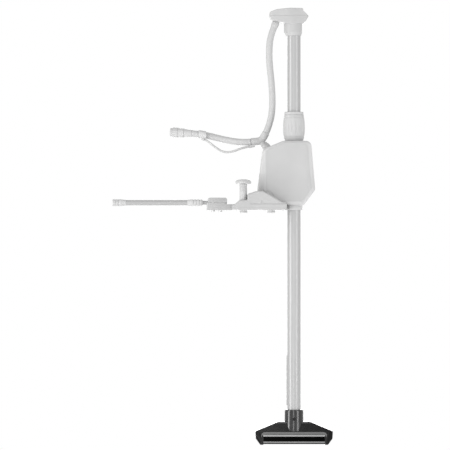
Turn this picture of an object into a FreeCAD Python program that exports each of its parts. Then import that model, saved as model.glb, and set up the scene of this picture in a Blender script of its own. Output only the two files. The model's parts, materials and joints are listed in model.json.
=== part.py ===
import FreeCAD, Part
import os
from math import acos, cos, pi, radians, sin, tan
from FreeCAD import Vector

# Steered pole motor with a tilting deck mount. Millimetres. X outboard, Y to the far side, Z up.
# Origin: centre of the deck bolt pattern, on the underside of the isolator feet.

os.makedirs("parts", exist_ok=True)

# shaft and its foot
SHAFT_X = 106.0
SHAFT_R = 19.0
SHAFT_WALL = 2.5
SHAFT_TOP = 556.0
SHAFT_END = -600.0
KEY_DEPTH = 1.0
FOOT_TOP = -569.6
FOOT_SHOULDER = -604.2
FOOT_BOTTOM = -670.8
FOOT_HALF_DEPTH = 24.0
FOOT_SOCKET_R = 27.3
FOOT_SLOPE_START = -629.0
FOOT_SLOPE_DEPTH = 8.5
CLAMP_SCREW_Z = -596.0

# deck base
PLATE_BOTTOM = 8.4
PLATE_TOP = 14.4
CHEEK_IN = 53.0
CHEEK_OUT = 94.0
WALL = 4.0
BOLT_X = 40.0
BOLT_Y = 38.0
PIVOT_X = 26.4
PIVOT_Z = 43.5
PIN_R = 5.5

# release knob and lock bolt
KNOB_X = -41.5
KNOB_Y = -73.5
KNOB_R = 22.9
KNOB_STEM_R = 6.0
KNOB_GUIDE_R = 10.8
KNOB_TRAVEL = 8.0
LOCK_R = 13.5
BOLT_RATIO = 0.6

# hand bar
BAR_Z = 29.8
BAR_ROD_R = 5.4
BAR_TUBE_R = 7.6
BAR_GRIP_R = 10.1
CLAMP_GAP = 0.15

# steering unit
CASE_HALF = 47.0
CASE_WALL = 3.5
SLEEVE_IN = 19.4
SLEEVE_OUT = 23.5
MODULE = 1.5
GEAR_TEETH = 48
PINION_TEETH = 16
PINION_X = SHAFT_X - MODULE * (GEAR_TEETH + PINION_TEETH) / 2

# cables
LOOM_R = 9.5
WIRE_R = 3.15
CABLE_Y = 30.0
BOOT_R = 10.8
BAND_R = 11.2
SLIP = 0.02

AX = Vector(1, 0, 0)
AZ = Vector(0, 0, 1)


def box(x0, x1, y0, y1, z0, z1):
    return Part.makeBox(x1 - x0, y1 - y0, z1 - z0, Vector(x0, y0, z0))


def rod(radius, start, end):
    """Cylinder between two points."""
    start = Vector(*start)
    run = Vector(*end) - start
    return Part.makeCylinder(radius, run.Length, start, run)


def cone(r0, r1, start, end):
    start = Vector(*start)
    run = Vector(*end) - start
    return Part.makeCone(r0, r1, run.Length, start, run)


def level_taper(r0, x0, z0, r1, x1, z1):
    """Tapering round solid with both ends level, its centre moving from x0 to x1."""
    rings = [Part.Wire([Part.makeCircle(r, Vector(x, 0, z), AZ)]) for r, x, z in ((r0, x0, z0), (r1, x1, z1))]
    return Part.makeLoft(rings, True, True)


def upright(radius, z0, z1, x=SHAFT_X, y=0.0):
    return rod(radius, (x, y, z0), (x, y, z1))


def ring(outer, inner, z0, z1, x=SHAFT_X, y=0.0):
    return upright(outer, z0, z1, x, y).cut(upright(inner, z0 - 1, z1 + 1, x, y))


def fuse(shapes):
    return shapes[0].multiFuse(shapes[1:]).removeSplitter()


def rounded_wire(corners, place):
    """Closed outline through (u, v, corner radius), drawn in the plane that place() gives."""
    points = [Vector(u, v, 0) for u, v, _ in corners]
    edges = []
    ends = []
    for i, (_, _, radius) in enumerate(corners):
        here = points[i]
        back = (points[i - 1] - here).normalize()
        ahead = (points[(i + 1) % len(points)] - here).normalize()
        if radius == 0:
            ends.append((here, here, None))
            continue
        half = back.getAngle(ahead) / 2
        reach = radius / tan(half)
        middle = (back + ahead).normalize()
        centre = here + middle * (radius / sin(half))
        ends.append((here + back * reach, here + ahead * reach, centre - middle * radius))
    for i, (start, end, middle) in enumerate(ends):
        if middle is not None:
            edges.append(Part.Arc(place(start), place(middle), place(end)).toShape())
        following = ends[(i + 1) % len(ends)][0]
        edges.append(Part.LineSegment(place(end), place(following)).toShape())
    return Part.Wire(edges)


def side_prism(corners, y0, y1, inset=0.0):
    """Side outline (x, z, radius) drawn out from y0 to y1."""
    face = Part.Face(rounded_wire(corners, lambda p: Vector(p.x, y0, p.y)))
    if inset:
        face = face.makeOffset2D(-inset)
    return face.extrude(Vector(0, y1 - y0, 0))


def plan_prism(corners, z0, z1, inset=0.0):
    """Plan outline (x, y, radius) drawn up from z0 to z1."""
    face = Part.Face(rounded_wire(corners, lambda p: Vector(p.x, p.y, z0)))
    if inset:
        face = face.makeOffset2D(-inset)
    return face.extrude(Vector(0, 0, z1 - z0))


def plan_box(x0, x1, y0, y1, z0, z1, radius):
    return plan_prism([(x0, y0, radius), (x1, y0, radius), (x1, y1, radius), (x0, y1, radius)], z0, z1)


def turned(profile, x=SHAFT_X, y=0.0):
    """Solid of revolution about an upright axis from (radius, z) points."""
    points = [Vector(x + r, y, z) for r, z in profile]
    face = Part.Face(Part.makePolygon(points + points[:1]))
    return face.revolve(Vector(x, y, 0), AZ, 360)


def turned_along_x(profile, y, z):
    """Solid of revolution about a level axis along X from (x, radius) points."""
    points = [Vector(x, y, z + r) for x, r in profile]
    face = Part.Face(Part.makePolygon(points + points[:1]))
    return face.revolve(Vector(0, y, z), AX, 360)


def soften(shape, radius, picked):
    """Round the edges for which picked(edge) holds."""
    return shape.makeFillet(radius, [e for e in shape.Edges if picked(e)])


def lies_at_y(*values):
    def test(edge):
        span = edge.BoundBox
        return any(abs(span.YMin - v) < 1e-4 and abs(span.YMax - v) < 1e-4 for v in values)
    return test


def lies_at_z(*values):
    def test(edge):
        span = edge.BoundBox
        return any(abs(span.ZMin - v) < 1e-4 and abs(span.ZMax - v) < 1e-4 for v in values)
    return test


def save(name, *shapes):
    solids = [s for shape in shapes for s in shape.Solids]
    for solid in solids:
        if not solid.isValid():
            print("invalid solid in", name)
    whole = solids[0] if len(solids) == 1 else Part.makeCompound(solids)
    whole.exportStep("parts/" + name + ".step")
    print(name, len(solids), round(whole.Volume))


# ---------------------------------------------------------------- deck base

CHEEK_SIDE = [
    (-73.7, PLATE_TOP, 0), (-73.7, 22.5, 5), (-65.0, 26.0, 6), (-52.0, 37.6, 4), (-30.0, 37.6, 3),
    (-30.0, 54.5, 7), (-2.0, 63.2, 25), (15.0, 63.2, 12), (36.0, 52.0, 20), (69.0, 32.2, 20),
    (84.0, 28.0, 6), (84.0, PLATE_TOP, 0),
]
CHEEK_SCREWS = [(-62.0, 74.0), (-10.0, 62.0), (-10.0, 86.0), (72.0, 74.0)]
TAIL_SCREWS = [(x, y) for x in (-128.2, -107.0) for y in (-12.5, 12.5)]


def make_base_plate():
    plate = plan_box(-73.7, 84.0, -CHEEK_OUT, CHEEK_OUT, PLATE_BOTTOM, PLATE_TOP, 10)
    plate = plate.cut(upright(31, 0, 30))
    tongue = box(-95, -60, -18, 18, PLATE_BOTTOM, 25.4)
    saddle = plan_box(-147.0, -89.0, -18, 18, PLATE_BOTTOM, BAR_Z - CLAMP_GAP, 4)
    body = fuse([plate, tongue, saddle])
    ribs = [box(-54, 54, y - 2, y + 2, PLATE_TOP, PLATE_TOP + 1.2) for y in (-20, 20)]
    body = fuse([body] + ribs)
    body = body.cut(rod(BAR_ROD_R, (-150, 0, BAR_Z), (-92, 0, BAR_Z)))
    for x in (-BOLT_X, BOLT_X):
        for y in (-BOLT_Y, BOLT_Y):
            body = body.cut(upright(3.4, 0, 20, x, y))
    for x, y in CHEEK_SCREWS:
        for side in (-1, 1):
            body = body.cut(upright(2.0, 0, 20, x, side * y))
            body = body.cut(upright(4.2, 0, PLATE_BOTTOM + 3, x, side * y))
    for x, y in TAIL_SCREWS:
        body = body.cut(upright(2.0, 0, 40, x, y))
    save("base_plate", body)


def cheek_marks(side):
    """Shallow line along the flange and the latch slot, both cut into a cheek's outer face."""
    y0, y1 = sorted((side * (CHEEK_OUT - 0.8), side * (CHEEK_OUT + 1)))
    return box(-21, 90, y0, y1, 25.0, 26.2).fuse(box(10.5, 16.5, y0, y1, 28.5, 36.5))


def cheek_shell(side):
    """Hollow cheek on one side (-1 near, 1 far) of the trough."""
    y0, y1 = sorted((side * CHEEK_IN, side * CHEEK_OUT))
    body = side_prism(CHEEK_SIDE, y0, y1)
    body = soften(body, 5, lambda e: lies_at_y(side * CHEEK_OUT)(e) and e.BoundBox.ZMax > PLATE_TOP + 1)
    hollow = side_prism(CHEEK_SIDE, y0 + WALL, y1 - WALL, WALL)
    floor = box(-69.7, 80, y0 + WALL, y1 - WALL, PLATE_TOP - 1, PLATE_TOP + WALL + 1)
    body = body.cut(hollow.fuse(floor))
    outer = side_prism(CHEEK_SIDE, y0, y1)
    posts = [upright(4.2, PLATE_TOP, 70, x, side * y).common(outer) for x, y in CHEEK_SCREWS]
    body = fuse([body] + posts)
    for x, y in CHEEK_SCREWS:
        body = body.cut(upright(2.0, 0, 22, x, side * y))
    pin = rod(PIN_R, (PIVOT_X, side * (CHEEK_IN - 1), PIVOT_Z), (PIVOT_X, side * (CHEEK_OUT - 2), PIVOT_Z))
    return body.cut(pin).cut(cheek_marks(side))


def make_cheeks():
    near = cheek_shell(-1)
    near = near.cut(upright(KNOB_GUIDE_R, 20, 90, KNOB_X, KNOB_Y))
    lock = rod(3.5, (PIVOT_X - LOCK_R, -CHEEK_IN - 6, PIVOT_Z), (PIVOT_X - LOCK_R, -CHEEK_IN + 1, PIVOT_Z))
    save("near_cheek", near.cut(lock))
    save("far_cheek", cheek_shell(1))


def screw(x, y, z_head, z_tip, head_r=4.0, shank_r=2.0, head_h=3.0):
    """Upward screw with its head below; a cross recess in the head."""
    head = upright(head_r, z_head, z_head + head_h, x, y)
    shank = upright(shank_r, z_head + head_h, z_tip, x, y)
    body = fuse([head, shank])
    slots = [box(x - 2.4, x + 2.4, y - 0.5, y + 0.5, z_head - 1, z_head + 1.4)]
    slots.append(box(x - 0.5, x + 0.5, y - 2.4, y + 2.4, z_head - 1, z_head + 1.4))
    return body.cut(fuse(slots))


def make_base_hardware():
    feet = []
    for x in (-BOLT_X, BOLT_X):
        for y in (-BOLT_Y, BOLT_Y):
            foot = turned([(3.4, 0), (9.6, 0), (10.5, 1.0), (10.5, 3.6), (9.4, 4.2), (10.5, 4.8),
                           (10.5, PLATE_BOTTOM), (3.4, PLATE_BOTTOM)], x, y)
            feet.append(foot)
    save("isolator_feet", *feet)
    screws = []
    for x, y in CHEEK_SCREWS:
        for side in (-1, 1):
            screws.append(screw(x, side * y, PLATE_BOTTOM, 22.0))
    save("cheek_screws", *screws)
    save("tail_screws", *[screw(x, y, 3.2, 40.0, 4.8, 2.0, PLATE_BOTTOM - 3.2) for x, y in TAIL_SCREWS])

    seam = BAR_Z + CLAMP_GAP
    cap = side_prism([(-143.6, seam, 0), (-143.6, 44.4, 6), (-88.0, 44.4, 6), (-88.0, seam, 0)], -18, 18)
    cap = cap.cut(rod(BAR_ROD_R, (-150, 0, BAR_Z), (-92, 0, BAR_Z)))
    for x, y in TAIL_SCREWS:
        cap = cap.cut(upright(2.0, 20, 40, x, y))
    save("tail_cap", cap)

    pin = rod(PIN_R - 0.05, (PIVOT_X, -CHEEK_OUT + 2, PIVOT_Z), (PIVOT_X, CHEEK_OUT - 2, PIVOT_Z))
    save("pivot_pin", pin)
    slope = (25.3 - 17.5) / (80.0 - 0.4)
    low = 17.5 + slope * (60.0 - 0.4) - 0.05
    high = 17.5 + slope * (72.0 - 0.4) - 0.05
    pad = side_prism([(60, PLATE_TOP, 0), (72, PLATE_TOP, 0), (72, high, 0), (60, low, 0)], -16, 16)
    save("stop_pad", pad)


def make_release():
    """Push-down knob, its link and the lock bolt, drawn raised: bolt clear of the tilt bracket."""
    guide = ring(KNOB_GUIDE_R, KNOB_STEM_R + 0.08, 32.3, 83.2, KNOB_X, KNOB_Y)
    for z in (62.5, 67.0, 71.5, 76.0):
        guide = guide.cut(ring(KNOB_GUIDE_R + 1, KNOB_GUIDE_R - 0.7, z, z + 1.4, KNOB_X, KNOB_Y))
    guide = guide.cut(ring(8.0, KNOB_STEM_R - 1, 79.0, 81.4, KNOB_X, KNOB_Y))
    save("knob_guide", guide)
    save("knob_seal", ring(7.95, KNOB_STEM_R + 0.03, 79.1, 81.3, KNOB_X, KNOB_Y))

    head = turned([(0, 91.4), (12.2, 91.4), (12.2, 83.8), (20.6, 83.8), (KNOB_R, 86.2), (KNOB_R, 89.5),
                   (19.6, 93.6), (11.5, 96.3), (0, 96.3)], KNOB_X, KNOB_Y)
    for i in range(12):
        angle = i * pi / 6
        x = KNOB_X + 24.6 * cos(angle)
        y = KNOB_Y + 24.6 * sin(angle)
        head = head.cut(upright(3.2, 80, 100, x, y))
    plate_top = 24.0 + KNOB_TRAVEL
    stem = turned([(0, 92), (KNOB_STEM_R, 92), (KNOB_STEM_R, plate_top), (3.9, plate_top),
                   (3.9, plate_top - 8), (0, plate_top - 8)], KNOB_X, KNOB_Y)
    save("release_knob", fuse([head, stem]))

    lock_x = PIVOT_X - LOCK_R
    block = box(lock_x - 6.5, lock_x + 6.5, -87, -65, 18, PIVOT_Z + 0.8)
    plate = plan_box(-50, lock_x + 6.5, -79, -67, 18, 24, 5)
    link = fuse([block, plate])
    link = link.cut(wedge_slab(lock_x, 8.0, -69.0, 5.3, PIVOT_Z - 13.5, PIVOT_Z + 4))
    link = link.cut(box(lock_x - 3.8, lock_x + 3.8, -78, -60, PIVOT_Z - 12.3, 50))
    link = link.cut(upright(4.0, 10, 30, KNOB_X, KNOB_Y))
    link.translate(Vector(0, 0, KNOB_TRAVEL))
    save("release_link", link)

    shank = rod(3.4, (lock_x, -72.0, PIVOT_Z), (lock_x, -48.4, PIVOT_Z))
    bolt = fuse([wedge_slab(lock_x, 6.2, -69.15, 5.0, PIVOT_Z - 5, PIVOT_Z + 5), shank])
    bolt.translate(Vector(0, -BOLT_RATIO * KNOB_TRAVEL, 0))
    save("lock_bolt", bolt)


def wedge_slab(x, half_width, y, thickness, z0, z1):
    """Slab leaning by the bolt ratio; its inner face passes y at the pivot's height."""
    low = y - BOLT_RATIO * (PIVOT_Z - z0)
    high = y - BOLT_RATIO * (PIVOT_Z - z1)
    corners = [(low, z0), (low - thickness, z0), (high - thickness, z1), (high, z1), (low, z0)]
    face = Part.Face(Part.makePolygon([Vector(x - half_width, v, w) for v, w in corners]))
    return face.extrude(Vector(2 * half_width, 0, 0))


def ribbed(x0, x1, x_end, grip_r, groove_r, count):
    """Outer profile (x, radius) of a grip: evenly spaced ribs from x0 to x1, then plain to x_end."""
    pitch = (x1 - x0) / count
    profile = []
    for i in range(count):
        x = x0 + i * pitch
        profile += [(x, grip_r), (x + 0.5 * pitch, grip_r)]
        profile += [(x + 0.6 * pitch, groove_r), (x + 0.9 * pitch, groove_r)]
    return profile + [(x1, grip_r), (x_end, grip_r)]


def make_hand_bar():
    inner = turned_along_x([(-335, 0), (-335, BAR_ROD_R - 1), (-334, BAR_ROD_R), (-93, BAR_ROD_R),
                            (-92, BAR_ROD_R - 1), (-92, 0)], 0, BAR_Z)
    save("handle_rod", inner)
    bore = BAR_ROD_R + 0.15
    tube = rod(BAR_TUBE_R, (-396, 0, BAR_Z), (-184, 0, BAR_Z))
    tube = tube.cut(rod(bore, (-420, 0, BAR_Z), (-150, 0, BAR_Z)))
    save("handle_tube", tube)

    ribs = ribbed(-418.5, -400.5, -396.0, BAR_GRIP_R, BAR_GRIP_R - 0.9, 4)
    inside = [(-381, BAR_TUBE_R + 0.5), (-381, BAR_TUBE_R), (-396, BAR_TUBE_R), (-396, 5.2), (-410, 5.2),
              (-410, 0)]
    cap = turned_along_x([(-421, 0), (-421, 8.3)] + ribs + inside, 0, BAR_Z)
    save("handle_end_cap", cap)

    ribs = ribbed(-192.1, -164.4, -162.5, BAR_GRIP_R - 0.2, BAR_GRIP_R - 1.6, 3)
    start = [(-203.0, BAR_TUBE_R), (-203.0, BAR_TUBE_R + 0.5)]
    inside = [(-158.5, 7.2), (-158.5, bore), (-183.6, bore), (-183.6, BAR_TUBE_R)]
    collar = turned_along_x(start + ribs + inside, 0, BAR_Z)
    for i in range(10):
        angle = i * pi / 5
        y = 11.2 * cos(angle)
        z = BAR_Z + 11.2 * sin(angle)
        collar = collar.cut(rod(1.8, (-166, y, z), (-150, y, z)))
    save("twist_collar", collar)


# ---------------------------------------------------------------- steering unit

CASE_SIDE = [
    (0.4, 17.5, 26), (80.0, 25.3, 10), (131.5, 20.3, 12), (166.8, 67.0, 14), (154.2, 208.5, 17),
    (74.0, 208.5, 14), (14.9, 184.0, 9), (0.4, 71.0, 40),
]
CASE_PLAN = [(-1.5, -CASE_HALF, 25), (168.0, -CASE_HALF, 27), (168.0, CASE_HALF, 27), (-1.5, CASE_HALF, 25)]
CASE_SCREWS = [(20.0, 160.0), (24.0, 96.0), (48.0, 184.0), (143.0, 181.0), (143.0, 92.0), (141.0, 52.0)]
BOARD_BACK = 36.0
BOARD_FRONT = 34.4
BOARD_POSTS = [(x, z) for x in (30.0, 86.0) for z in (140.0, 174.0)]
ENTRY = Vector(6.0, CABLE_Y, 213.0)
ENTRY_DIRECTION = Vector(0.7071, 0, -0.7071)


def along_entry(distance):
    point = ENTRY + ENTRY_DIRECTION * distance
    return (point.x, point.y, point.z)


def case_body():
    outer = side_prism(CASE_SIDE, -CASE_HALF, CASE_HALF)
    outer = soften(outer, 8, lies_at_y(-CASE_HALF, CASE_HALF)).common(plan_prism(CASE_PLAN, 0, 220))
    hollow = side_prism(CASE_SIDE, -CASE_HALF + CASE_WALL, CASE_HALF - CASE_WALL, CASE_WALL)
    hollow = hollow.common(plan_prism(CASE_PLAN, 0, 220, CASE_WALL))
    seats = [upright(36, 18, 41), upright(36, 190, 208.5)]
    seats = [s.common(outer) for s in seats]
    posts = []
    for x, z in CASE_SCREWS:
        post = rod(5.5, (x, -CASE_HALF + 2, z), (x, CASE_HALF - 2, z))
        posts.append(post.common(outer))
    nose = upright(24.5, 9.0, 27)
    nose = soften(nose, 1.5, lies_at_z(9.0))
    boss = rod(11.5, along_entry(25), along_entry(37))
    body = fuse([outer.cut(hollow)] + seats + posts + [nose, boss])
    body = body.cut(upright(20.0, 0, 60))
    body = body.cut(upright(22.5, 9.5, 26))
    body = body.cut(upright(32.0, 30, 50))
    body = body.cut(upright(32.0, 180, 204))
    body = body.cut(upright(24.0, 180, 220))
    body = body.cut(rod(19.7, (PIVOT_X, -60, PIVOT_Z), (PIVOT_X, 60, PIVOT_Z)))
    body = body.cut(rod(8.0, along_entry(20), along_entry(48)))
    for x, z in CASE_SCREWS:
        body = body.cut(rod(2.0, (x, -30, z), (x, 60, z)))
        body = body.cut(rod(4.3, (x, CASE_HALF - 4, z), (x, 60, z)))
    return body


def make_case():
    body = case_body()
    save("housing_front", body.common(box(-30, 200, -60, -0.6, 0, 230)))
    rear = body.common(box(-30, 200, 0.6, 60, 0, 230))
    standoffs = [rod(3.0, (x, BOARD_BACK, z), (x, CASE_HALF - 2, z)) for x, z in BOARD_POSTS]
    save("housing_rear", fuse([rear] + standoffs))
    seal = side_prism(CASE_SIDE, -0.6, 0.6, 0.8).cut(side_prism(CASE_SIDE, -1, 1, CASE_WALL - 0.4))
    seal = seal.cut(upright(33, 0, 300))
    seal = seal.cut(rod(19.7, (PIVOT_X, -60, PIVOT_Z), (PIVOT_X, 60, PIVOT_Z)))
    save("housing_gasket", seal)
    screws = []
    for x, z in CASE_SCREWS:
        head = rod(4.0, (x, CASE_HALF - 4, z), (x, CASE_HALF - 0.8, z))
        shank = rod(1.9, (x, -30, z), (x, CASE_HALF - 4, z))
        slot = box(x - 3, x + 3, CASE_HALF - 2, CASE_HALF + 1, z - 0.5, z + 0.5)
        slot = slot.fuse(box(x - 0.5, x + 0.5, CASE_HALF - 2, CASE_HALF + 1, z - 3, z + 3))
        screws.append(fuse([head, shank]).cut(slot))
    save("housing_screws", *screws)


def make_tilt_bracket():
    inside = CASE_HALF - CASE_WALL - 0.1
    parts = []
    for side in (-1, 1):
        y0, y1 = sorted((side * (inside - 4), side * inside))
        arm = side_prism([(PIVOT_X, PIVOT_Z - 18, 4), (66, PIVOT_Z - 14, 4), (66, PIVOT_Z + 12, 8),
                          (PIVOT_X, PIVOT_Z + 18, 4)], y0, y1)
        disc = rod(19.5, (PIVOT_X, side * (inside - 4), PIVOT_Z), (PIVOT_X, side * 51.5, PIVOT_Z))
        parts += [arm, disc]
    parts.append(box(42, 66, -inside + 1, inside - 1, 30, 35))
    body = fuse(parts)
    for side in (-1, 1):
        start = (PIVOT_X, side * 30, PIVOT_Z)
        body = body.cut(rod(7.5, start, (PIVOT_X, side * 60, PIVOT_Z)))
        body = body.cut(rod(10.2, (PIVOT_X, side * 50.2, PIVOT_Z), (PIVOT_X, side * 60, PIVOT_Z)))
    for turn in (180.0, 105.0):
        x = PIVOT_X + LOCK_R * cos(radians(turn))
        z = PIVOT_Z + LOCK_R * sin(radians(turn))
        body = body.cut(rod(3.6, (x, -60, z), (x, -46.5, z)))
    save("tilt_bracket", body)
    bushes = []
    for side in (-1, 1):
        tube = rod(7.5, (PIVOT_X, side * (inside - 4), PIVOT_Z), (PIVOT_X, side * 50.2, PIVOT_Z))
        flange = rod(9.2, (PIVOT_X, side * 50.2, PIVOT_Z), (PIVOT_X, side * 52.8, PIVOT_Z))
        bore = rod(PIN_R + 0.1, (PIVOT_X, side * 20, PIVOT_Z), (PIVOT_X, side * 60, PIVOT_Z))
        bushes.append(fuse([tube, flange]).cut(bore))
    save("pivot_bushes", *bushes)


def gear_outline(teeth, turn, x, z):
    """Involute gear outline centred on (x, 0) at height z, 20 degree pressure angle."""
    pitch_r = MODULE * teeth / 2
    base_r = pitch_r * cos(radians(20))
    tip_r = pitch_r + 0.9 * MODULE
    root_r = pitch_r - 1.2 * MODULE
    at_pitch = tan(radians(20)) - radians(20)
    radii = [max(base_r, root_r) + (tip_r - max(base_r, root_r)) * i / 4 for i in range(5)]
    flank = []
    for radius in radii:
        slope = acos(min(1.0, base_r / radius))
        flank.append((radius, pi / 2 / teeth - 0.1 / pitch_r + at_pitch - (tan(slope) - slope)))
    flank.insert(0, (root_r, flank[0][1]))
    points = []
    for i in range(teeth):
        centre = turn + 2 * pi * i / teeth
        rise = [(r, centre - half) for r, half in flank]
        fall = [(r, centre + half) for r, half in reversed(flank)]
        points += [Vector(x + r * cos(a), r * sin(a), z) for r, a in rise + fall]
    return Part.Face(Part.makePolygon(points + points[:1]))


def make_drive():
    gear = gear_outline(GEAR_TEETH, 0, SHAFT_X, 120).extrude(Vector(0, 0, 10))
    gear = gear.cut(upright(SLEEVE_OUT, 110, 140))
    for i in range(6):
        angle = (i + 0.5) * pi / 3
        gear = gear.cut(upright(3.0, 110, 140, SHAFT_X + 28.8 * cos(angle), 28.8 * sin(angle)))
    save("steering_gear", gear)
    pinion = gear_outline(PINION_TEETH, pi / PINION_TEETH, PINION_X, 119).extrude(Vector(0, 0, 12))
    save("drive_pinion", fuse([pinion, upright(3.0, 100, 135, PINION_X)]))

    can = turned([(0, 60), (17.5, 60), (19, 61.5), (19, 104), (17.5, 106), (9.5, 106), (9.5, 109),
                  (3.2, 109), (3.2, 99), (0, 99)], PINION_X)
    terminals = [box(PINION_X - 14, PINION_X - 11, y - 2, y + 2, 56, 60) for y in (-7, 7)]
    reach = CASE_HALF - CASE_WALL
    plate = plan_box(PINION_X - 22, PINION_X + 20, -reach, reach, 109, 113, 3)
    plate = plate.cut(upright(3.2, 100, 120, PINION_X))
    plate = plate.cut(upright(SLEEVE_OUT + 2, 100, 120))
    save("steering_motor", fuse([can, plate] + terminals))

    save("sleeve_bearings", *[ring(32, SLEEVE_OUT + 0.02, z, z + 10) for z in (30, 194)])
    save("nose_bush", ring(22.5, SHAFT_R + 0.15, 9.5, 26))

    board = box(26, 92, BOARD_FRONT, BOARD_BACK, 136, 178)
    for x, z in BOARD_POSTS:
        board = board.cut(rod(1.5, (x, 30, z), (x, 40, z)))
    chips = [box(34, 48, 30.4, BOARD_FRONT, 146, 160), box(54, 66, 31.4, BOARD_FRONT, 144, 156),
             box(38, 62, 29.0, BOARD_FRONT, 164, 174), box(72, 80, 29.4, BOARD_FRONT, 150, 168)]
    save("control_board", fuse([board] + chips))


def make_collar_and_sleeve():
    sleeve = ring(SLEEVE_OUT, SLEEVE_IN, 30, 284)
    for i in range(6):
        angle = 60 * i + 30
        slot = box(SHAFT_X + 15, SHAFT_X + 30, -1.0, 1.0, 252, 290)
        slot.rotate(Vector(SHAFT_X, 0, 0), AZ, angle)
        sleeve = sleeve.cut(slot)
    key = box(SHAFT_X - 1.8, SHAFT_X + 1.8, SHAFT_R - 0.75, SHAFT_R + 2, 60, 200)
    save("steering_sleeve", fuse([sleeve, key]))
    top = turned([(SLEEVE_IN + 0.1, 284), (27.2, 284), (27.8, 285.5), (27.5, 291.5), (26.4, 293),
                  (SLEEVE_IN + 0.1, 293)])
    save("collar_ring", top)
    barrel = turned([(24.0, 209.3), (25.6, 209.3), (26.6, 211), (29.0, 217.5), (29.3, 219.4), (28.3, 219.9),
                     (28.3, 221.1), (29.6, 221.6), (30.2, 226), (31.4, 235), (31.9, 245), (31.5, 255),
                     (30.9, 264), (29.9, 272), (29.3, 276), (28.3, 276.5), (28.3, 277.7), (28.8, 278.2),
                     (28.2, 283.5), (24.0, 283.5)])
    for i in range(18):
        angle = 2 * pi * i / 18
        x = SHAFT_X + 34.0 * cos(angle)
        y = 34.0 * sin(angle)
        barrel = barrel.cut(upright(3.8, 224, 273.5, x, y))
    save("depth_collar", barrel)


def make_entry():
    gland = fuse([rod(7.9, along_entry(22), along_entry(40)), rod(11.5, along_entry(17), along_entry(25))])
    flats = []
    for i in range(6):
        flat = box(10.2, 14, -8, 8, 16.0, 24.0)
        flat.rotate(Vector(0, 0, 0), AZ, 60 * i)
        flats.append(flat)
    cutter = Part.makeCompound(flats)
    cutter.Placement = FreeCAD.Placement(ENTRY, FreeCAD.Rotation(AZ, ENTRY_DIRECTION))
    gland = gland.cut(cutter)
    gland = gland.cut(rod(5.6, along_entry(10), along_entry(50)))
    save("cable_gland", gland)
    spine = cord_solid([UPPER_LOOM[0], (12.5, CABLE_Y, 210.0), LEFT_LOOM[0]], BOOT_R)
    branch = cone(9.4, 8.0, along_entry(0), along_entry(17)).fuse(rod(5.6, along_entry(0), along_entry(37)))
    nozzle = cone(6.0, 4.4, (-8.0, CABLE_Y, 198.2), BYPASS_WIRE[0])
    boot = fuse([spine, branch, nozzle])
    for route, radius in ((UPPER_LOOM, LOOM_R), (LEFT_LOOM, LOOM_R), (BYPASS_WIRE, WIRE_R)):
        boot = boot.cut(rod(radius + SLIP, route[0], route[1]))
    save("breakout_boot", boot)


# ---------------------------------------------------------------- cables

UPPER_LOOM = [(25.0, 29.0, 233.0), (36.0, 28.0, 258.0), (44.0, 23.0, 300.0), (43.0, 15.0, 362.0),
              (34.0, 6.0, 440.0), (34.5, 1.5, 490.0), (40.5, 0.0, 520.0), (51.5, 0.0, 547.0)]
LEFT_LOOM = [(-18.0, 30.0, 207.0), (-46.0, 30.0, 205.0), (-98.0, 36.0, 214.5), (-160.0, 52.0, 230.5),
             (-212.0, 62.0, 234.0)]
BYPASS_WIRE = [(-24.0, 30.0, 193.5), (-45.0, 30.0, 189.5), (-72.0, 32.5, 178.5), (-99.0, 36.5, 177.0),
               (-122.0, 42.0, 191.5), (-146.0, 48.5, 211.0), (-154.0, 50.3, 214.75)]


def cord_solid(route, radius):
    """Round cord along straight runs joined by tangent arcs."""
    points = [Vector(*p) for p in route]
    edges = []
    bends = []
    start = points[0]
    for before, here, after in zip(points, points[1:], points[2:]):
        back = (before - here).normalize()
        ahead = (after - here).normalize()
        half_turn = (pi - back.getAngle(ahead)) / 2
        reach = 0.45 * min((before - here).Length, (after - here).Length)
        bend = reach / tan(half_turn)
        bends.append(round(bend))
        middle = (back + ahead).normalize()
        centre = here + middle * (bend / cos(half_turn))
        entry = here + back * reach
        leave = here + ahead * reach
        edges.append(Part.LineSegment(start, entry).toShape())
        edges.append(Part.Arc(entry, centre - middle * bend, leave).toShape())
        start = leave
    edges.append(Part.LineSegment(start, points[-1]).toShape())
    path = Part.Wire(edges)
    section = Part.Wire([Part.makeCircle(radius, points[0], points[1] - points[0])])
    solid = path.makePipeShell([section], True, False)
    print("  bends", bends, "length", round(path.Length, 1),
          "volume / section x length", round(solid.Volume / (pi * radius ** 2 * path.Length), 3))
    return solid


def make_cables():
    save("loom_upper", cord_solid(UPPER_LOOM, LOOM_R))
    save("loom_deck", cord_solid(LEFT_LOOM, LOOM_R))
    save("loom_bypass", cord_solid(BYPASS_WIRE, WIRE_R))
    sheath = cord_solid(LEFT_LOOM, BAND_R).common(box(-171, -149, 0, 90, 180, 260))
    nozzle = rod(4.4, BYPASS_WIRE[-1], (-162.5, 52.2, 218.74))
    save("loom_band", fuse([sheath, nozzle]).cut(cord_solid(LEFT_LOOM, LOOM_R + SLIP)))


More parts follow.
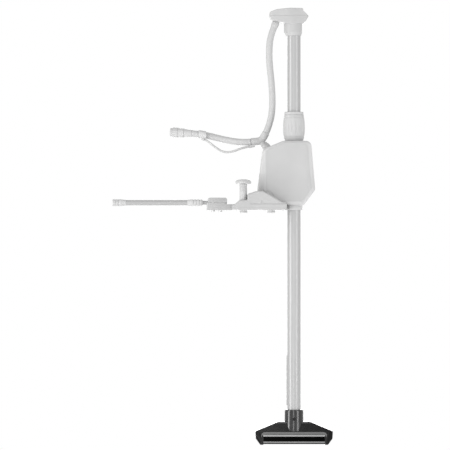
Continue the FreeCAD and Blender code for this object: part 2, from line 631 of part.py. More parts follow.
def make_plug():
    """Round five-pin plug on the end of the deck loom, in line with its last run."""
    end = Vector(*LEFT_LOOM[-1])
    direction = (end - Vector(*LEFT_LOOM[-2])).normalize()
    level = direction.cross(AZ).normalize()
    rise = level.cross(direction)

    def at(distance, radius=0.0, angle=0.0):
        point = end + direction * distance + level * (radius * cos(angle)) + rise * (radius * sin(angle))
        return (point.x, point.y, point.z)

    relief = cone(9.8, 11.6, at(-22), at(2)).cut(rod(LOOM_R + SLIP, at(-40), at(0)))
    shell = rod(13.0, at(2), at(30)).fuse(rod(14.2, at(20), at(34))).fuse(rod(12.0, at(34), at(42)))
    shell = shell.cut(rod(10.2, at(30), at(50)))
    grips = [rod(1.1, at(21, 14.6, 2 * pi * i / 14), at(33, 14.6, 2 * pi * i / 14)) for i in range(14)]
    shell = shell.cut(Part.makeCompound(grips))
    save("plug_shell", fuse([relief, shell]))
    face = rod(10.1, at(30), at(33))
    pins = [rod(1.3, at(33, 5.6, 2 * pi * i / 5), at(39.5, 5.6, 2 * pi * i / 5)) for i in range(5)]
    save("plug_contacts", fuse([face] + pins))
    print("plug mouth", at(42), "direction", tuple(direction))


# ---------------------------------------------------------------- head

HEAD_SIDE = [
    (40.0, 559.5, 6), (66.0, 553.0, 20), (97.0, 546.4, 40), (130.0, 549.3, 10), (139.5, 556.0, 4),
    (148.4, 570.4, 2.8), (133.0, 585.8, 3), (131.0, 593.0, 2.8), (92.0, 593.0, 40), (55.0, 589.3, 20),
    (35.5, 582.0, 6), (34.0, 570.5, 8),
]
HEAD_PLAN = [(33.0, -23.0, 13), (95.0, -31.0, 70), (150.0, -14.0, 11), (150.0, 14.0, 11), (95.0, 31.0, 70),
             (33.0, 23.0, 13)]
HEAD_SPLIT = 571.0
HEAD_WALL = 2.6
HEAD_SCREWS = [(52.0, -16.0, 559.5), (52.0, 16.0, 559.5), (131.5, -9.5, 552.2), (131.5, 9.5, 552.2)]
NECK_X = 103.2
NECK_R = 26.0
BUSH_R = 21.2
CLIP_POCKET_R = 22.4


def head_solid(inset=0.0):
    return side_prism(HEAD_SIDE, -40, 40, inset).common(plan_prism(HEAD_PLAN, 540, 600, inset))


def make_head():
    outer = head_solid()
    outer = soften(outer, 2.0, lambda e: e.BoundBox.ZMin > 586 and e.BoundBox.YMax * e.BoundBox.YMin > 0)
    hollow = head_solid(HEAD_WALL)
    posts = [upright(3.4, 549, 591, x, y).common(outer) for x, y, _ in HEAD_SCREWS]
    shell = fuse([outer.cut(hollow)] + posts)
    lens_seat = box(112, 131, -6, 6, 590.6, 600)
    upper = shell.common(box(0, 200, -50, 50, HEAD_SPLIT + 0.1, 600)).cut(lens_seat)
    lower = shell.common(box(0, 200, -50, 50, 540, HEAD_SPLIT - 0.1))
    neck = upright(NECK_R, 523.5, 552.5, NECK_X)
    neck = neck.fuse(level_taper(21.6, 105.0, 513.3, NECK_R, NECK_X, 523.5))
    lower = fuse([lower, neck])
    lower = lower.cut(upright(SHAFT_R + 0.6, 500, 560))
    lower = lower.cut(upright(BUSH_R, 524, 548))
    lower = lower.cut(upright(CLIP_POCKET_R, 548, 560))
    end = Vector(*UPPER_LOOM[-1])
    slant = (end - Vector(*UPPER_LOOM[-2])).normalize()

    def at(distance):
        point = end + slant * distance
        return (point.x, point.y, point.z)

    lower = lower.cut(rod(9.2, at(3), at(26)))
    for x, y, seat in HEAD_SCREWS:
        lower = lower.cut(upright(1.5, 540, 580, x, y))
        lower = lower.cut(upright(2.8, 540, seat + 2.3, x, y))
        upper = upper.cut(upright(1.5, 560, 584, x, y))
    save("head_lower", lower)
    save("head_upper", upper)
    save("head_screws", *[screw(x, y, seat, 583.5, 2.7, 1.45, 2.2) for x, y, seat in HEAD_SCREWS])
    lens = side_prism([(112.2, 590.6, 0), (130.8, 590.6, 0), (130.8, 591.6, 0.8), (126.0, 593.9, 3),
                       (112.2, 593.9, 0.8)], -5.8, 5.8)
    save("head_lens", lens)
    save("head_bush", ring(BUSH_R, SHAFT_R + 0.15, 524, 548))
    board = plan_box(60, 122, -18, 18, 576.5, 578.1, 3)
    chips = [box(66, 80, -8, 6, 578.1, 581.5), box(90, 100, -12, -2, 578.1, 580.6),
             box(88, 108, 4, 14, 578.1, 583), box(74, 92, -12, 12, 573.0, 576.5)]
    save("head_board", fuse([board] + chips))
    gland = rod(10.8, at(-4), at(5)).fuse(rod(9.1, at(5), at(20))).fuse(cone(9.9, 10.8, at(-9), at(-4)))
    gland = gland.cut(rod(LOOM_R + SLIP, at(-20), at(0)))
    gland = gland.cut(rod(6.0, at(0), at(30)))
    save("head_gland", gland.cut(outer.cut(hollow).cut(rod(9.3, at(0), at(26)))).removeSplitter())


# ---------------------------------------------------------------- shaft and foot

def make_shaft():
    tube = ring(SHAFT_R, SHAFT_R - SHAFT_WALL, SHAFT_END, SHAFT_TOP)
    tube = tube.cut(box(SHAFT_X - 2.0, SHAFT_X + 2.0, SHAFT_R - KEY_DEPTH, SHAFT_R + 2, -300, 520))
    tube = tube.cut(rod(2.4, (SHAFT_X, -30, CLAMP_SCREW_Z), (SHAFT_X, 0, CLAMP_SCREW_Z)))
    save("shaft_tube", tube)
    guard = box(SHAFT_X - SHAFT_R - 2.8, SHAFT_X - SHAFT_R + 4, -5, 5, -557, -413)
    guard = guard.cut(upright(SHAFT_R, -600, -400))
    save("cable_guard", guard)
    clip = ring(CLIP_POCKET_R - 0.6, SHAFT_R, 549.0, 553.5)
    clip = clip.cut(box(SHAFT_X, SHAFT_X + 30, -1.5, 1.5, 540, 560))
    save("shaft_retainer", clip)
    plugs = [upright(SHAFT_R - SHAFT_WALL, 540, SHAFT_TOP), upright(SHAFT_R - SHAFT_WALL, SHAFT_END, -584)]
    save("shaft_harness", fuse([upright(4.2, SHAFT_END - 12, 568)] + plugs))


FOOT_SIDE = [
    (SHAFT_X - 98.0, FOOT_BOTTOM, 4), (SHAFT_X - 111.0, -653.0, 7), (SHAFT_X - 112.3, -631.5, 5),
    (SHAFT_X - 46.0, FOOT_SHOULDER, 9), (SHAFT_X + 46.0, FOOT_SHOULDER, 9), (SHAFT_X + 112.3, -631.5, 5),
    (SHAFT_X + 111.0, -653.0, 7), (SHAFT_X + 98.0, FOOT_BOTTOM, 4),
]
WINDOW_HALF = 88.4
WINDOW_LOW = -659.4
WINDOW_HIGH = -646.7
FOOT_SCREWS = [SHAFT_X + offset for offset in (-94.0, -34.0, 34.0, 94.0)]
FOOT_SCREW_Z = -640.0


def slope_cutter(side):
    """Wedge cut from the wings' front (-1) or back (1), so that the face leans back above the bar."""
    near = side * FOOT_HALF_DEPTH
    lean = side * (FOOT_HALF_DEPTH - FOOT_SLOPE_DEPTH)
    far = side * 60
    points = [(near, FOOT_SLOPE_START), (lean, FOOT_SHOULDER), (lean, -590), (far, -590),
              (far, FOOT_SLOPE_START)]
    corners = [Vector(-60, y, z) for y, z in points]
    face = Part.Face(Part.makePolygon(corners + corners[:1]))
    return face.extrude(Vector(340, 0, 0))


def foot_wings():
    wings = side_prism(FOOT_SIDE, -FOOT_HALF_DEPTH, FOOT_HALF_DEPTH)
    wings = soften(wings, 4, lies_at_y(-FOOT_HALF_DEPTH, FOOT_HALF_DEPTH))
    relief = plan_box(SHAFT_X - 89, SHAFT_X + 89, -60, 60, -680, -668.2, 2)
    return wings.cut(slope_cutter(-1)).cut(slope_cutter(1)).cut(relief)


def make_foot():
    depth = FOOT_HALF_DEPTH
    wings = foot_wings()
    hollow = side_prism(FOOT_SIDE, -depth + 3, depth + 10, 5).common(box(-50, 250, -60, 60, -664, -630))
    socket = turned([(0, FOOT_SHOULDER), (FOOT_SOCKET_R, FOOT_SHOULDER), (FOOT_SOCKET_R - 0.4, FOOT_TOP - 4),
                     (FOOT_SOCKET_R - 1.4, FOOT_TOP - 1.4), (FOOT_SOCKET_R - 3.4, FOOT_TOP), (0, FOOT_TOP)])
    body = fuse([wings, socket]).cut(hollow)
    body = body.cut(upright(SHAFT_R, SHAFT_END, -500))
    body = body.cut(upright(7.0, -640, -590))
    body = body.cut(box(SHAFT_X - WINDOW_HALF, SHAFT_X + WINDOW_HALF, -40, -10, WINDOW_LOW, WINDOW_HIGH))
    body = body.cut(rod(2.4, (SHAFT_X, -40, CLAMP_SCREW_Z), (SHAFT_X, 0, CLAMP_SCREW_Z)))
    body = body.cut(rod(4.3, (SHAFT_X, -40, CLAMP_SCREW_Z), (SHAFT_X, -23.4, CLAMP_SCREW_Z)))
    for x in FOOT_SCREWS:
        body = fuse([body, rod(3.6, (x, -depth + 2, FOOT_SCREW_Z), (x, depth - 3, FOOT_SCREW_Z))])
        body = body.cut(rod(1.5, (x, 0, FOOT_SCREW_Z), (x, depth + 5, FOOT_SCREW_Z)))
    save("foot_housing", body)

    prow = side_prism([(SHAFT_X - 24, FOOT_SHOULDER, 0), (SHAFT_X - 22, -619, 12), (SHAFT_X - 12, -631.2, 8),
                       (SHAFT_X + 12, -631.2, 8), (SHAFT_X + 22, -619, 12), (SHAFT_X + 24, FOOT_SHOULDER, 0)],
                      -50, -12)
    tongue = upright(FOOT_SOCKET_R, -640, FOOT_SHOULDER).common(prow)
    save("foot_tongue", tongue.cut(wings))

    front = -depth - 2.6
    frame = side_prism([(SHAFT_X - 96, -664.8, 4), (SHAFT_X + 96, -664.8, 4), (SHAFT_X + 96, -632.6, 10),
                        (SHAFT_X - 96, -632.6, 10)], front, -depth)
    frame = soften(frame, 2.0, lies_at_y(front))
    half = WINDOW_HALF + 0.2
    frame = frame.cut(box(SHAFT_X - half, SHAFT_X + half, -40, 0, WINDOW_LOW - 0.2, WINDOW_HIGH + 0.2))
    save("foot_frame", frame)
    window = box(SHAFT_X - WINDOW_HALF + 0.1, SHAFT_X + WINDOW_HALF - 0.1, -depth - 1.4, -depth + 2.8,
                 WINDOW_LOW + 0.1, WINDOW_HIGH - 0.1)
    save("foot_window", window)
    arrays = []
    for x in (SHAFT_X - 58, SHAFT_X, SHAFT_X + 58):
        array = box(x - 26, x + 26, -depth + 3.2, -depth + 17, -661, -644)
        arrays.append(fuse([array, box(x - 20, x + 20, -depth + 17, -depth + 24, -658, -647)]))
    save("sonar_array", *arrays)

    cover = side_prism(FOOT_SIDE, depth - 3, depth + 1.0, 5.2)
    cover = cover.common(box(-50, 250, -60, 60, -663.8, -630.2))
    screws = []
    for x in FOOT_SCREWS:
        cover = cover.cut(rod(1.6, (x, 0, FOOT_SCREW_Z), (x, depth + 5, FOOT_SCREW_Z)))
        head = rod(3.0, (x, depth + 1.0, FOOT_SCREW_Z), (x, depth + 2.6, FOOT_SCREW_Z))
        shank = rod(1.45, (x, 4, FOOT_SCREW_Z), (x, depth + 1.0, FOOT_SCREW_Z))
        slot = box(x - 4, x + 4, depth + 2.0, depth + 4, FOOT_SCREW_Z - 0.4, FOOT_SCREW_Z + 0.4)
        screws.append(fuse([head, shank]).cut(slot))
    save("foot_cover", cover)
    save("foot_screws", *screws)
    head = rod(4.1, (SHAFT_X, -25.6, CLAMP_SCREW_Z), (SHAFT_X, -23.4, CLAMP_SCREW_Z))
    head = head.cut(rod(2.2, (SHAFT_X, -26, CLAMP_SCREW_Z), (SHAFT_X, -24.2, CLAMP_SCREW_Z)))
    pin = rod(2.4, (SHAFT_X, -23.4, CLAMP_SCREW_Z), (SHAFT_X, -17.2, CLAMP_SCREW_Z))
    save("foot_clamp_screw", fuse([head, pin]))


make_base_plate()
make_cheeks()
make_base_hardware()
make_release()
make_hand_bar()
make_case()
make_tilt_bracket()
make_drive()
make_collar_and_sleeve()
make_entry()
make_cables()
make_plug()
make_head()
make_shaft()
make_foot()
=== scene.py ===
import bpy
import json
from math import cos, pi, radians, sin
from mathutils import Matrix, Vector
from mathutils.bvhtree import BVHTree


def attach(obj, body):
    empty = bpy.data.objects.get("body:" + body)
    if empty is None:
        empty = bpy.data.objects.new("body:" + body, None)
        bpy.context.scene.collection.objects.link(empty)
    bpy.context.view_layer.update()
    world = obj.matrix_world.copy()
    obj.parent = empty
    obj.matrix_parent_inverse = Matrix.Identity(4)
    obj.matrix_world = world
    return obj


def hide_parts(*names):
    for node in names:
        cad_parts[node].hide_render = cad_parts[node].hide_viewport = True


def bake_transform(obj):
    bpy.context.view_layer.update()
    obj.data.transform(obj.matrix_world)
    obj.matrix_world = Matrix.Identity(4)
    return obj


# Steered pole motor with a tilting deck mount. Metres; X outboard, Y to the far side, Z up.

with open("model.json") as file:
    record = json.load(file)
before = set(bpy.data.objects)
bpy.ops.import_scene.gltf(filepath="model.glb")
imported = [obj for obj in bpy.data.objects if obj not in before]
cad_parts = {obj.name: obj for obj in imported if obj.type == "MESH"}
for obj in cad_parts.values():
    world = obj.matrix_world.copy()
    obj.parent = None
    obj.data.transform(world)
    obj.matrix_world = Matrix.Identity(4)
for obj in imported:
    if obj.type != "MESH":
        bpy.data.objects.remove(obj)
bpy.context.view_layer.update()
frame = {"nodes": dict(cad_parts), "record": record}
NODES = frame["nodes"]
MM = 0.001

# ------------------------------------------------------------------ camera

SHAFT_X = 0.106  # the pole's axis
CAMERA_X = -0.094
CAMERA_Z = -0.0348
CAMERA_DISTANCE = 8.0
PICTURE_WIDTH = 1.305  # width of the view at the pole
SENSOR = 36.0
FAR_CLIP = 100


def make_camera():
    """Level camera that looks along +Y, square on to the pole."""
    data = bpy.data.cameras.new("camera")
    data.sensor_width = SENSOR
    data.lens = SENSOR * CAMERA_DISTANCE / PICTURE_WIDTH
    data.clip_end = FAR_CLIP
    camera = bpy.data.objects.new("camera", data)
    camera.location = (CAMERA_X, -CAMERA_DISTANCE, CAMERA_Z)
    camera.rotation_euler = (radians(90), 0, 0)
    bpy.context.collection.objects.link(camera)
    bpy.context.scene.camera = camera


make_camera()

# ------------------------------------------------------------------ cables

LOOM_R = 0.0095
WIRE_R = 0.00315
TUBE_SIDES = 32
TUBE_STEP = 0.002  # distance between a tube's rings
LINE_RESOLUTION = 24

# Routes in millimetres: the head's loom from the boot up, and the two that lead from the boot to the left.
UPPER_LOOM = [(25.0, 29.0, 233.0), (36.0, 28.0, 258.0), (44.0, 23.0, 300.0), (43.0, 15.0, 362.0),
              (34.0, 6.0, 440.0), (34.5, 1.5, 490.0), (40.5, 0.0, 520.0), (51.5, 0.0, 547.0)]
LEFT_LOOM = [(-18.0, 30.0, 207.0), (-46.0, 32.0, 205.0), (-98.0, 59.0, 214.5), (-160.0, 52.0, 230.5),
             (-212.0, 62.0, 234.0)]
BYPASS_WIRE = [(-24.0, 30.0, 193.5), (-45.0, 31.0, 189.5), (-72.0, 44.0, 178.5), (-99.0, 48.5, 177.0),
               (-122.0, 50.5, 191.5), (-146.0, 49.5, 211.0), (-154.0, 50.3, 214.75)]


def smooth_line(route):
    """Points along the NURBS line whose control points are the route, in metres."""
    curve = bpy.data.curves.new("line", "CURVE")
    curve.dimensions = "3D"
    curve.resolution_u = LINE_RESOLUTION
    spline = curve.splines.new("NURBS")
    spline.points.add(len(route) - 1)
    for point, place in zip(spline.points, route):
        point.co = (place[0] * MM, place[1] * MM, place[2] * MM, 1)
    spline.order_u = 3
    spline.use_endpoint_u = True
    holder = bpy.data.objects.new("line", curve)
    bpy.context.collection.objects.link(holder)
    bpy.context.view_layer.update()
    mesh = bpy.data.meshes.new_from_object(holder.evaluated_get(bpy.context.evaluated_depsgraph_get()))
    points = [v.co.copy() for v in mesh.vertices]
    bpy.data.objects.remove(holder)
    bpy.data.curves.remove(curve)
    bpy.data.meshes.remove(mesh)
    return points


def evenly(points, step):
    """The same line with points a fixed step apart, its ends kept, and its length."""
    total = sum((b - a).length for a, b in zip(points, points[1:]))
    count = max(2, round(total / step))
    spaced = [points[0].copy()]
    walked = 0.0
    for a, b in zip(points, points[1:]):
        run = (b - a).length
        while len(spaced) < count and total * len(spaced) / count <= walked + run:
            spaced.append(a.lerp(b, (total * len(spaced) / count - walked) / run))
        walked += run
    spaced.append(points[-1].copy())
    return spaced, total


def tube_mesh(name, line, radius):
    """Closed round tube along a line. U runs round it and V along it, both from 0 to 1."""
    sides, last = TUBE_SIDES, len(line) - 1
    tangents = [(line[min(i + 1, last)] - line[max(i - 1, 0)]).normalized() for i in range(len(line))]
    across = tangents[0].cross(Vector((0, 1, 0))).normalized()
    vertices = []
    for point, tangent in zip(line, tangents):
        across = (across - tangent * across.dot(tangent)).normalized()
        beside = tangent.cross(across)
        for k in range(sides):
            angle = 2 * pi * k / sides
            vertices.append(point + (across * cos(angle) + beside * sin(angle)) * radius)
    faces = []
    for i in range(last):
        ring, next_ring = i * sides, (i + 1) * sides
        for k in range(sides):
            after = (k + 1) % sides
            faces.append((ring + k, ring + after, next_ring + after, next_ring + k))
    faces.append(tuple(reversed(range(sides))))
    faces.append(tuple(range(len(vertices) - sides, len(vertices))))
    mesh = bpy.data.meshes.new(name)
    mesh.from_pydata(vertices, [], faces)
    layer = mesh.uv_layers.new(name="UVMap")
    for face in mesh.polygons[:-2]:
        for corner, loop in enumerate(face.loop_indices):
            ring, side = divmod(mesh.loops[loop].vertex_index, sides)
            if corner in (1, 2) and side == 0:
                side = sides
            layer.data[loop].uv = (side / sides, ring / last)
    mesh.shade_smooth()
    piece = bpy.data.objects.new(name, mesh)
    bpy.context.collection.objects.link(piece)
    return piece


def make_cord(name, node, route, radius):
    """A cable tube along a route that stands for its plain CAD tube, which it hides."""
    line, length = evenly(smooth_line(route), TUBE_STEP)
    piece = tube_mesh(name, line, radius)
    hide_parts(node)
    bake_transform(piece)
    return piece


upper_loom = make_cord("upper_loom", "loom_upper", UPPER_LOOM, LOOM_R)
deck_loom = make_cord("deck_loom", "loom_deck", LEFT_LOOM, LOOM_R)
bypass_wire = make_cord("bypass_wire", "loom_bypass", BYPASS_WIRE, WIRE_R)

# ------------------------------------------------------------------ materials

BEVEL_SAMPLES = 4
EDGE_SOFTNESS = 0.0006  # radius that sharp edges are shaded with
WEAR_RADIUS = 0.0014


class Graph:
    """A material's node tree with a principled shader at its end."""

    def __init__(self, name, roughness, metallic=0.0, specular=0.5):
        self.material = bpy.data.materials.new(name)
        self.material.use_nodes = True
        self.tree = self.material.node_tree
        self.shader = self.tree.nodes["Principled BSDF"]
        self.shader.inputs["Roughness"].default_value = roughness
        self.shader.inputs["Metallic"].default_value = metallic
        self.shader.inputs["Specular IOR Level"].default_value = specular
        self.place = self.tree.nodes.new("ShaderNodeTexCoord").outputs["Object"]

    def link(self, source, target):
        self.tree.links.new(source, target)

    def scaled(self, x, y, z):
        """The object's coordinates, scaled along each axis."""
        node = self.tree.nodes.new("ShaderNodeMapping")
        node.inputs["Scale"].default_value = (x, y, z)
        self.link(self.place, node.inputs["Vector"])
        return node.outputs["Vector"]

    def noise(self, scale, detail=3.0, stretch=(1, 1, 1)):
        node = self.tree.nodes.new("ShaderNodeTexNoise")
        node.inputs["Scale"].default_value = scale
        node.inputs["Detail"].default_value = detail
        self.link(self.scaled(*stretch), node.inputs["Vector"])
        return node.outputs["Fac"]

    def cells(self, scale):
        node = self.tree.nodes.new("ShaderNodeTexVoronoi")
        node.inputs["Scale"].default_value = scale
        self.link(self.place, node.inputs["Vector"])
        return node.outputs["Distance"]

    def remap(self, value, low, high, to_low, to_high):
        """The value moved from one range to another, and held inside it."""
        node = self.tree.nodes.new("ShaderNodeMapRange")
        node.inputs["From Min"].default_value = low
        node.inputs["From Max"].default_value = high
        node.inputs["To Min"].default_value = to_low
        node.inputs["To Max"].default_value = to_high
        self.link(value, node.inputs["Value"])
        return node.outputs["Result"]

    def spread(self, noise, to_low=0.0, to_high=1.0):
        """A noise stretched over a range. Its own values lie mostly between 0.3 and 0.7."""
        return self.remap(noise, 0.3, 0.7, to_low, to_high)

    def math(self, operation, *values):
        """A maths node whose inputs are sockets or plain numbers."""
        node = self.tree.nodes.new("ShaderNodeMath")
        node.operation = operation
        for value, socket in zip(values, node.inputs):
            if isinstance(value, (int, float)):
                socket.default_value = value
            else:
                self.link(value, socket)
        return node.outputs[0]

    def split(self, vector):
        """The X, Y and Z of a vector."""
        node = self.tree.nodes.new("ShaderNodeSeparateXYZ")
        self.link(vector, node.inputs["Vector"])
        return node.outputs

    def blend(self, share, first, second):
        """The first colour where the share is 0, the second where it is 1."""
        node = self.tree.nodes.new("ShaderNodeMix")
        node.data_type = "RGBA"
        self.link(share, node.inputs[0])
        for value, socket in ((first, node.inputs[6]), (second, node.inputs[7])):
            if isinstance(value, tuple):
                socket.default_value = (*value, 1)
            else:
                self.link(value, socket)
        return node.outputs[2]

    def softened(self, radius):
        """The surface normal with edges rounded to a radius."""
        bevel = self.tree.nodes.new("ShaderNodeBevel")
        bevel.samples = BEVEL_SAMPLES
        bevel.inputs["Radius"].default_value = radius
        return bevel.outputs["Normal"]

    def edge_wear(self, radius, most):
        """0 on a flat surface, rising to the most on edges sharper than the radius."""
        soft_normal = self.softened(radius)
        plain = self.tree.nodes.new("ShaderNodeNewGeometry")
        dot = self.tree.nodes.new("ShaderNodeVectorMath")
        dot.operation = "DOT_PRODUCT"
        self.link(soft_normal, dot.inputs[0])
        self.link(plain.outputs["Normal"], dot.inputs[1])
        return self.remap(self.remap(dot.outputs["Value"], 1.0, 0.8, 0.0, 1.0), 0, 1, 0, most)

    def bump(self, height, strength, distance, soften=EDGE_SOFTNESS):
        """Relief on the surface. soften is the radius that sharp edges are shaded with, 0 for none."""
        node = self.tree.nodes.new("ShaderNodeBump")
        node.inputs["Strength"].default_value = strength
        node.inputs["Distance"].default_value = distance
        self.link(height, node.inputs["Height"])
        if soften:
            self.link(self.softened(soften), node.inputs["Normal"])
        self.link(node.outputs["Normal"], self.shader.inputs["Normal"])

    def colour(self, value):
        self.link(value, self.shader.inputs["Base Color"])

    def rough(self, value):
        self.link(value, self.shader.inputs["Roughness"])


def grey(value):
    return (value, value, value)


def rubbed(value):
    """The lighter grey of a plastic edge that has been handled."""
    return grey(min(0.9, value * 1.5 + 0.03))


def moulded(name, value, roughness=0.45, specular=0.4, grain=2600):
    """Injection-moulded plastic: fine grain, faint clouding, edges rubbed a little lighter."""
    g = Graph(name, roughness, specular=specular)
    base = g.blend(g.spread(g.noise(14, 4)), grey(value * 0.96), grey(value * 1.03))
    g.colour(g.blend(g.edge_wear(WEAR_RADIUS, 0.12), base, rubbed(value)))
    g.rough(g.spread(g.noise(60, 3), roughness - 0.05, roughness + 0.06))
    g.bump(g.noise(grain, 2), 0.5, 0.00006)
    return g.material


def coated(name, value, roughness=0.42):
    """Powder-coated casting: slight orange peel and a soft edge."""
    g = Graph(name, roughness, specular=0.45)
    base = g.blend(g.spread(g.noise(9, 5)), grey(value * 0.95), grey(value * 1.03))
    g.colour(g.blend(g.edge_wear(0.0012, 0.15), base, grey(value * 1.25)))
    g.rough(g.spread(g.noise(45, 3), roughness - 0.06, roughness + 0.06))
    g.bump(g.noise(700, 3), 0.4, 0.00012, 0.001)
    return g.material


def drawn_tube(name, value, roughness, stretch):
    """Painted tube with a faint drawn grain; stretch is small along the tube's own axis."""
    g = Graph(name, roughness, metallic=0.15, specular=0.5)
    streak = g.noise(260, 3, stretch)
    g.colour(g.blend(g.spread(streak), grey(value * 0.97), grey(value * 1.03)))
    g.rough(g.spread(streak, roughness - 0.05, roughness + 0.07))
    g.bump(streak, 0.1, 0.00002, 0)
    return g.material


def steel(name, value=0.55, roughness=0.28):
    """Bare or blackened metal with a brushed grain."""
    g = Graph(name, roughness, metallic=1.0)
    streak = g.noise(900, 2, (1, 1, 0.1))
    g.colour(g.blend(streak, grey(value * 0.85), grey(value * 1.1)))
    g.rough(g.spread(streak, roughness - 0.06, roughness + 0.1))
    g.bump(streak, 0.2, 0.00003)
    return g.material


def rubber(name, value, roughness=0.75):
    """Matt rubber with a fine grain and cloudy bloom."""
    g = Graph(name, roughness, specular=0.25)
    cloud = g.noise(40, 4)
    g.colour(g.blend(g.spread(cloud), grey(value * 0.9), grey(value * 1.08)))
    g.rough(g.spread(cloud, roughness - 0.08, roughness + 0.05))
    g.bump(g.noise(1800, 3), 0.5, 0.0001)
    return g.material


def jacket(name, value):
    """Braided sleeve over the loom: two crossing sets of fine strands from the tube's UV."""
    around, pitch, length = 16, 0.0035, 0.32  # strands round the tube, their pitch, and the tube's length
    g = Graph(name, 0.5, specular=0.35)
    uv = g.split(g.tree.nodes.new("ShaderNodeUVMap").outputs["UV"])

    def strand(sign):
        turn = g.math("MULTIPLY", uv["X"], 2 * pi * around)
        return g.math("SINE", g.math("MULTIPLY_ADD", uv["Y"], sign * 2 * pi * length / pitch, turn))

    weave = g.math("MAXIMUM", strand(1), strand(-1))
    share = g.remap(weave, -0.4, 1.0, 0.0, 1.0)
    g.colour(g.blend(share, grey(value * 0.9), grey(value * 1.03)))
    g.rough(g.remap(share, 0, 1, 0.62, 0.45))
    g.bump(share, 0.35, 0.00025)
    return g.material


def board(name):
    """Green circuit board with lighter tracks."""
    g = Graph(name, 0.35, specular=0.5)
    tracks = g.cells(420)
    g.colour(g.blend(g.remap(tracks, 0.2, 0.3, 0.0, 1.0), (0.02, 0.13, 0.05), (0.05, 0.24, 0.10)))
    g.bump(tracks, 0.2, 0.00005)
    return g.material


def glossy(name, value, roughness, specular):
    """Smooth window plastic with a slight haze and ripple."""
    g = Graph(name, roughness, specular=specular)
    haze = g.noise(30, 4)
    g.colour(g.blend(haze, grey(value * 0.8), grey(value * 1.2)))
    g.rough(g.spread(haze, roughness - 0.03, roughness + 0.05))
    g.bump(g.noise(8, 2), 0.05, 0.0002, 0.0004)
    return g.material


FINISHES = {
    "cast_alloy": coated("cast_alloy", 0.405),
    "bare_steel": steel("bare_steel"),
    "black_steel": steel("black_steel", 0.035, 0.5),
    "shaft_alloy": drawn_tube("shaft_alloy", 0.385, 0.33, (1, 1, 0.02)),
    "case_plastic": moulded("case_plastic", 0.45, 0.5),
    "trim_plastic": moulded("trim_plastic", 0.465, 0.42),
    "dark_plastic": moulded("dark_plastic", 0.03, 0.5),
    "foot_plastic": moulded("foot_plastic", 0.006, 0.2, 0.8),
    "window_plastic": glossy("window_plastic", 0.001, 0.2, 0.02),
    "frame_plastic": moulded("frame_plastic", 0.012, 0.3, 0.16),
    "soft_rubber": rubber("soft_rubber", 0.62),
    "black_rubber": rubber("black_rubber", 0.02),
    "cable_jacket": jacket("cable_jacket", 0.465),
    "bearing_polymer": moulded("bearing_polymer", 0.72, 0.4),
    "bearing_steel": steel("bearing_steel", 0.6, 0.15),
    "brass": steel("brass", 0.5),
    "circuit": board("circuit"),
    "lens_plastic": glossy("lens_plastic", 0.10, 0.1, 0.5),
    "alloy": steel("alloy", 0.65, 0.35),
}
WING_TOP = -0.6085  # level where the foot's collar meets its wings
FOOT_GREY = 0.006
FOOT_ROUGHNESS = 0.2
COLLAR_SPECULAR = 0.8
WING_SPECULAR = 0.18


def foot_shell(name):
    """The foot's body: a polished collar that stands on satin wings."""
    g = Graph(name, FOOT_ROUGHNESS)
    collar = g.remap(g.split(g.place)["Z"], WING_TOP - 0.001, WING_TOP + 0.001, 0.0, 1.0)
    g.link(g.remap(collar, 0, 1, WING_SPECULAR, COLLAR_SPECULAR), g.shader.inputs["Specular IOR Level"])
    g.colour(g.blend(g.edge_wear(WEAR_RADIUS, 0.12), grey(FOOT_GREY), rubbed(FOOT_GREY)))
    g.rough(g.spread(g.noise(60, 3), FOOT_ROUGHNESS - 0.04, FOOT_ROUGHNESS + 0.05))
    g.bump(g.noise(2600, 2), 0.5, 0.00006)
    return g.material


SOFT_JACKET = rubber("soft_jacket", 0.47, 0.6)
# The shell is a lighter grey than the front panel: painted light along the housing's rounded sides beside
# the panel.
SHELL_PAINTED_LIGHT = moulded("case_shell_painted_light", 0.49, 0.45)
PANEL_FINISH = moulded("case_panel", 0.43, 0.5, grain=1900)
PAD_FINISH = moulded("corner_pad", 0.465, 0.5)
SHOULDER_FINISH = moulded("frame_shoulder", 0.105, 0.35)
SILL_FINISH = moulded("frame_sill", 0.24, 0.3)
# The brow's light grey is a painted highlight along the top of the foot's window.
BROW_PAINTED_HIGHLIGHT = moulded("frame_brow_painted_highlight", 0.25, 0.3)
END_BLOCK_FINISH = moulded("end_block", 0.004, 0.2, 0.14)
BAR_FINISH = drawn_tube("bar_alloy", 0.35, 0.42, (0.02, 1, 1))
NODE_FINISHES = {
    "breakout_boot": SOFT_JACKET,
    "loom_band": SOFT_JACKET,
    "handle_tube": BAR_FINISH,
    "handle_rod": BAR_FINISH,
    "tilt_bracket": FINISHES["cast_alloy"],
    "housing_front": SHELL_PAINTED_LIGHT,
    "housing_rear": SHELL_PAINTED_LIGHT,
    "foot_housing": foot_shell("foot_shell"),
}


def paint(piece, material):
    piece.data.materials.clear()
    piece.data.materials.append(material)


def paint_cad_nodes():
    """Every CAD piece gets its own finish, or else the one of its material slot."""
    for part in frame["record"]["subparts"]:
        piece = NODES[part["node"]]
        finish = NODE_FINISHES.get(part["node"], FINISHES[part["material_slot"]])
        if not piece.material_slots:
            piece.data.materials.append(finish)
        for entry in piece.material_slots:
            entry.material = finish


paint_cad_nodes()
paint(upper_loom, FINISHES["cable_jacket"])
paint(deck_loom, FINISHES["cable_jacket"])
paint(bypass_wire, SOFT_JACKET)

# ------------------------------------------------------------------ trim pieces

INWARD = Vector((0, 1, 0))  # from the viewer's side into the object
BEFORE = -0.3  # Y of a plane in front of the whole object
NUDGES = (0, 2e-5, -2e-5, 1e-4, -1e-4)
SHARP = radians(40)
BEVELLED = radians(50)


def surface_of(node):
    """Ray-casting tree of a CAD node's mesh in the shared frame."""
    piece = NODES[node]
    mesh = piece.data
    return BVHTree.FromPolygons([piece.matrix_world @ v.co for v in mesh.vertices],
                                [tuple(f.vertices) for f in mesh.polygons])


